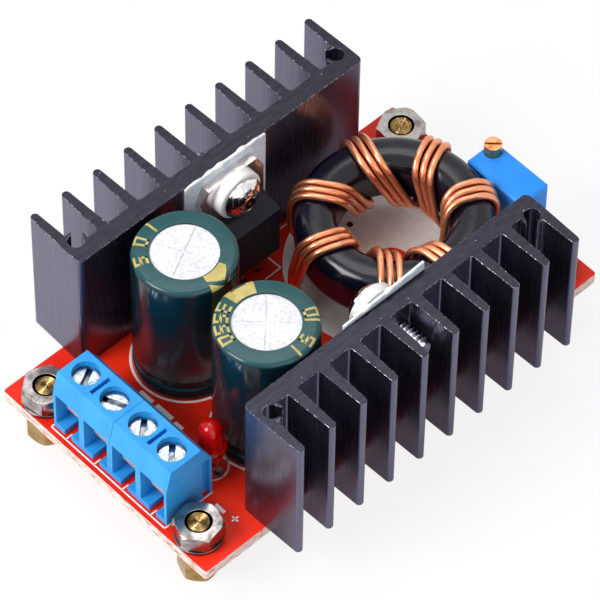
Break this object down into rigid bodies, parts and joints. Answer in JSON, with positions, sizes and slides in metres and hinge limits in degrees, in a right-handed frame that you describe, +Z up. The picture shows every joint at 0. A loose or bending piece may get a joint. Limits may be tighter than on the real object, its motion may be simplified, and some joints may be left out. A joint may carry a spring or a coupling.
{
  "type": "boost converter module",
  "caption": "Boost converter board on brass standoffs, with finned heatsinks, tall capacitors, a wound toroid choke, a trimmer and blue screw terminals.",
  "frame": {"origin": "middle of the four standoffs, on the plane that they stand on", "axes": "+X along the board from the terminals to the trimmer, +Y across it to the rear heatsink, +Z up"},
  "size_m": [0.0652, 0.0468, 0.0284],
  "materials": {
    "board_laminate": "satin",
    "black_anodised": "satin",
    "brass": "polished",
    "nickel_steel": "satin",
    "can_aluminium": "brushed",
    "sleeve_film": "glossy",
    "bung_rubber": "matte",
    "tinned_wire": "satin",
    "package_epoxy": "matte",
    "tab_metal": "satin",
    "insulating_silicone": "matte",
    "white_nylon": "satin",
    "core_coating": "satin",
    "enamelled_copper": "glossy",
    "red_lens": "glossy",
    "blue_housing": "satin",
    "blue_case": "satin",
    "solder": "satin",
    "chip_resistor": "satin",
    "ceramic": "satin"
  },
  "bodies": {
    "module": {"choke_core": "core_coating", "choke_strand_1": "enamelled_copper", "choke_strand_2": "enamelled_copper", "choke_strand_3": "enamelled_copper", "circuit_board": "board_laminate", "controller_chip": "package_epoxy", "controller_legs": "tinned_wire", "front_heatsink": "black_anodised", "input_capacitor_bung": "bung_rubber", "input_capacitor_can": "can_aluminium", "input_capacitor_leads": "tinned_wire", "input_capacitor_sleeve": "sleeve_film", "input_contacts": "tinned_wire", "input_terminal_housing": "blue_housing", "led_leads": "tinned_wire", "led_lens": "red_lens", "nuts": "nickel_steel", "output_capacitor_bung": "bung_rubber", "output_capacitor_can": "can_aluminium", "output_capacitor_leads": "tinned_wire", "output_capacitor_sleeve": "sleeve_film", "output_contacts": "tinned_wire", "output_terminal_housing": "blue_housing", "rear_heatsink": "black_anodised", "rectifier_bushing": "white_nylon", "rectifier_leads": "tinned_wire", "rectifier_package": "package_epoxy", "rectifier_pad": "insulating_silicone", "rectifier_screw": "nickel_steel", "rectifier_tab": "tab_metal", "solder_joints": "solder", "standoffs": "brass", "surface_capacitors": "ceramic", "surface_end_caps": "solder", "surface_resistors": "chip_resistor", "switch_bushing": "white_nylon", "switch_leads": "tinned_wire", "switch_package": "package_epoxy", "switch_pad": "insulating_silicone", "switch_screw": "nickel_steel", "switch_tab": "tab_metal", "trimmer_case": "blue_case", "trimmer_pins": "tinned_wire", "washers": "nickel_steel"},
    "trimmer_screw_body": {"trimmer_screw": "brass"},
    "clamp_screw_1_body": {"clamp_screw_1": "nickel_steel"},
    "clamp_cage_1_body": {"clamp_cage_1": "nickel_steel"},
    "clamp_screw_2_body": {"clamp_screw_2": "nickel_steel"},
    "clamp_cage_2_body": {"clamp_cage_2": "nickel_steel"},
    "clamp_screw_3_body": {"clamp_screw_3": "nickel_steel"},
    "clamp_cage_3_body": {"clamp_cage_3": "nickel_steel"},
    "clamp_screw_4_body": {"clamp_screw_4": "nickel_steel"},
    "clamp_cage_4_body": {"clamp_cage_4": "nickel_steel"}
  },
  "joints": [
    {"name": "trimmer_turn", "type": "hinge", "parent": "module", "child": "trimmer_screw_body", "pos_m": [0.0307, -0.00115, 0.0166], "axis": [0, 0, 1], "continuous": true},
    {"name": "clamp_turn_1", "type": "hinge", "parent": "module", "child": "clamp_screw_1_body", "pos_m": [-0.02818, 0.0075, 0.0144], "axis": [0, 0, -1], "range_deg": [-756, 612]},
    {"name": "clamp_rise_1", "type": "slide", "parent": "module", "child": "clamp_cage_1_body", "axis": [0, 0, 1], "range_m": [-0.00105, 0.00085]},
    {"name": "clamp_turn_2", "type": "hinge", "parent": "module", "child": "clamp_screw_2_body", "pos_m": [-0.02818, 0.0025, 0.0144], "axis": [0, 0, -1], "range_deg": [-756, 612]},
    {"name": "clamp_rise_2", "type": "slide", "parent": "module", "child": "clamp_cage_2_body", "axis": [0, 0, 1], "range_m": [-0.00105, 0.00085]},
    {"name": "clamp_turn_3", "type": "hinge", "parent": "module", "child": "clamp_screw_3_body", "pos_m": [-0.02818, -0.0025, 0.0144], "axis": [0, 0, -1], "range_deg": [-756, 612]},
    {"name": "clamp_rise_3", "type": "slide", "parent": "module", "child": "clamp_cage_3_body", "axis": [0, 0, 1], "range_m": [-0.00105, 0.00085]},
    {"name": "clamp_turn_4", "type": "hinge", "parent": "module", "child": "clamp_screw_4_body", "pos_m": [-0.02818, -0.0075, 0.0144], "axis": [0, 0, -1], "range_deg": [-756, 612]},
    {"name": "clamp_rise_4", "type": "slide", "parent": "module", "child": "clamp_cage_4_body", "axis": [0, 0, 1], "range_m": [-0.00105, 0.00085]}
  ],
  "couplings": [
    {"joint": "clamp_turn_1", "follows": "clamp_rise_1", "rad_per_m": 12566},
    {"joint": "clamp_turn_2", "follows": "clamp_rise_2", "rad_per_m": 12566},
    {"joint": "clamp_turn_3", "follows": "clamp_rise_3", "rad_per_m": 12566},
    {"joint": "clamp_turn_4", "follows": "clamp_rise_4", "rad_per_m": 12566}
  ]
}
